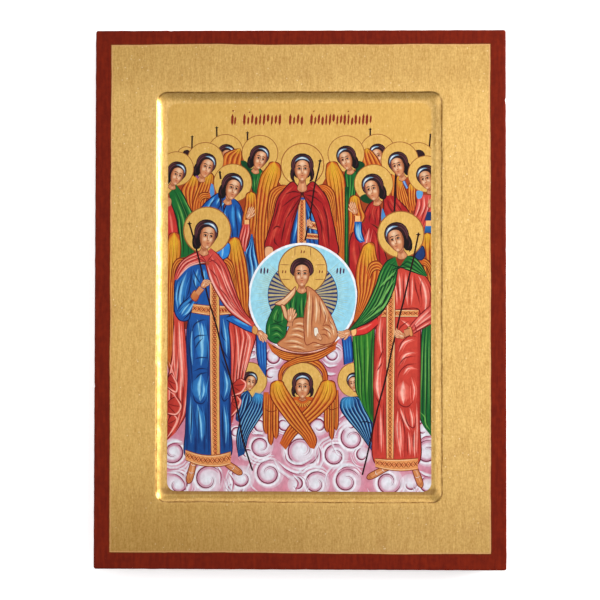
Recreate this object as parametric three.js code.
// A gilded icon panel: one board of solid wood, lying on its back.
// Its face has a raised flat border round a sunken field, the way such boards are cut from one piece.
// Cloth, gesso, gold leaf and paint are coats on the wood, so the board is the only solid.
// Millimetres. X runs across the panel, Y up it, Z out of its face. The origin is the middle of the back.
import * as THREE from "three";
import { mergeVertices } from "three/addons/utils/BufferGeometryUtils.js";

// The board
const boardWidth = 190;
const boardHeight = 249;
const boardThickness = 18;
const edgeRound = 0.7; // worn arris on the eight long edges
const cornerRound = 1.2; // the four upright corners, seen from the front

// The sunken field, measured from the board's edges to the lip where its hollow side begins
const marginLeft = 28.3;
const marginRight = 29.1;
const marginTop = 28.4;
const marginBottom = 30.4;
const fieldDepth = 2.4;
const lipRadius = 0.5; // the soft edge that the gesso leaves at the lip
const lipAngle = (48 * Math.PI) / 180; // how steep the side is under the lip
const coveRadius = fieldDepth / (1 - Math.cos(lipAngle)) - lipRadius; // the hollow side is an arc that ends level
const lipCornerRound = 4.8;
const floorCornerRound = 4.2;

// Facets
const cornerSteps = 8;
const lipSteps = 3;
const coveSteps = 8;
const edgeSteps = 3;

const gold = new THREE.MeshStandardMaterial({ color: 0xc9a561, roughness: 0.45, metalness: 0.6 });

// The rectangle at the field's lip
const lip = {
  left: -boardWidth / 2 + marginLeft,
  right: boardWidth / 2 - marginRight,
  bottom: -boardHeight / 2 + marginBottom,
  top: boardHeight / 2 - marginTop,
};
const outline = {
  left: -boardWidth / 2,
  right: boardWidth / 2,
  bottom: -boardHeight / 2,
  top: boardHeight / 2,
};

// One level ring of points round a rectangle with rounded corners, drawn in by inset.
// Every ring has the same number of points, so two rings join point to point.
function ring(rect, inset, radius, z) {
  const corners = [
    [rect.right - inset - radius, rect.top - inset - radius],
    [rect.left + inset + radius, rect.top - inset - radius],
    [rect.left + inset + radius, rect.bottom + inset + radius],
    [rect.right - inset - radius, rect.bottom + inset + radius],
  ];
  const points = [];
  corners.forEach(([x, y], quarter) => {
    for (let step = 0; step <= cornerSteps; step++) {
      const angle = ((quarter + step / cornerSteps) * Math.PI) / 2;
      points.push([x + radius * Math.cos(angle), y + radius * Math.sin(angle), z]);
    }
  });
  return points;
}

// The rings up the outside of the board, from its back to its face.
function outsideRings() {
  const rings = [];
  for (let step = 0; step <= edgeSteps; step++) {
    const angle = (step / edgeSteps) * (Math.PI / 2);
    const inset = edgeRound * (1 - Math.sin(angle));
    const rise = edgeRound * (1 - Math.cos(angle));
    rings.push(ring(outline, inset, cornerRound, rise));
  }
  for (let step = 0; step <= edgeSteps; step++) {
    const angle = (step / edgeSteps) * (Math.PI / 2);
    const inset = edgeRound * (1 - Math.cos(angle));
    const rise = boardThickness - edgeRound * (1 - Math.sin(angle));
    rings.push(ring(outline, inset, cornerRound, rise));
  }
  return rings;
}

// The rings down into the field: a small round over the lip, then the hollow arc down to the level floor.
function fieldRings() {
  const sideWidth = (lipRadius + coveRadius) * Math.sin(lipAngle);
  const cornerAt = (inset) => lipCornerRound + (floorCornerRound - lipCornerRound) * (inset / sideWidth);
  const rings = [];
  for (let step = 0; step <= lipSteps; step++) {
    const angle = (step / lipSteps) * lipAngle;
    const inset = lipRadius * Math.sin(angle);
    const drop = lipRadius * (1 - Math.cos(angle));
    rings.push(ring(lip, inset, cornerAt(inset), boardThickness - drop));
  }
  for (let step = 1; step <= coveSteps; step++) {
    const angle = (1 - step / coveSteps) * lipAngle;
    const inset = sideWidth - coveRadius * Math.sin(angle);
    const rise = coveRadius * (1 - Math.cos(angle));
    rings.push(ring(lip, inset, cornerAt(inset), boardThickness - fieldDepth + rise));
  }
  return rings;
}

// A closed skin over a stack of rings, with a flat cap on the first and the last.
function closedSkin(rings) {
  const count = rings[0].length;
  const points = rings.flat();
  const faces = [];
  for (let level = 0; level + 1 < rings.length; level++) {
    for (let i = 0; i < count; i++) {
      const next = (i + 1) % count;
      const [a, b] = [level * count + i, level * count + next];
      const [c, d] = [a + count, b + count];
      faces.push(a, b, d, a, d, c);
    }
  }
  const addCap = (first, facesUp) => {
    const middle = points.length;
    const sum = points.slice(first, first + count).reduce((s, p) => [s[0] + p[0], s[1] + p[1]], [0, 0]);
    points.push([sum[0] / count, sum[1] / count, points[first][2]]);
    for (let i = 0; i < count; i++) {
      const [a, b] = [first + i, first + ((i + 1) % count)];
      faces.push(...(facesUp ? [middle, a, b] : [middle, b, a]));
    }
  };
  addCap(0, false);
  addCap((rings.length - 1) * count, true);
  const skin = new THREE.BufferGeometry();
  skin.setAttribute("position", new THREE.Float32BufferAttribute(points.flat(), 3));
  skin.setIndex(faces);
  return mergeVertices(skin, 1e-4);
}

function makePanel() {
  const skin = closedSkin([...outsideRings(), ...fieldRings()]);
  const panel = new THREE.Mesh(skin, gold);
  panel.name = "panel";
  return panel;
}

const icon = new THREE.Group();
icon.add(makePanel());

export default icon;
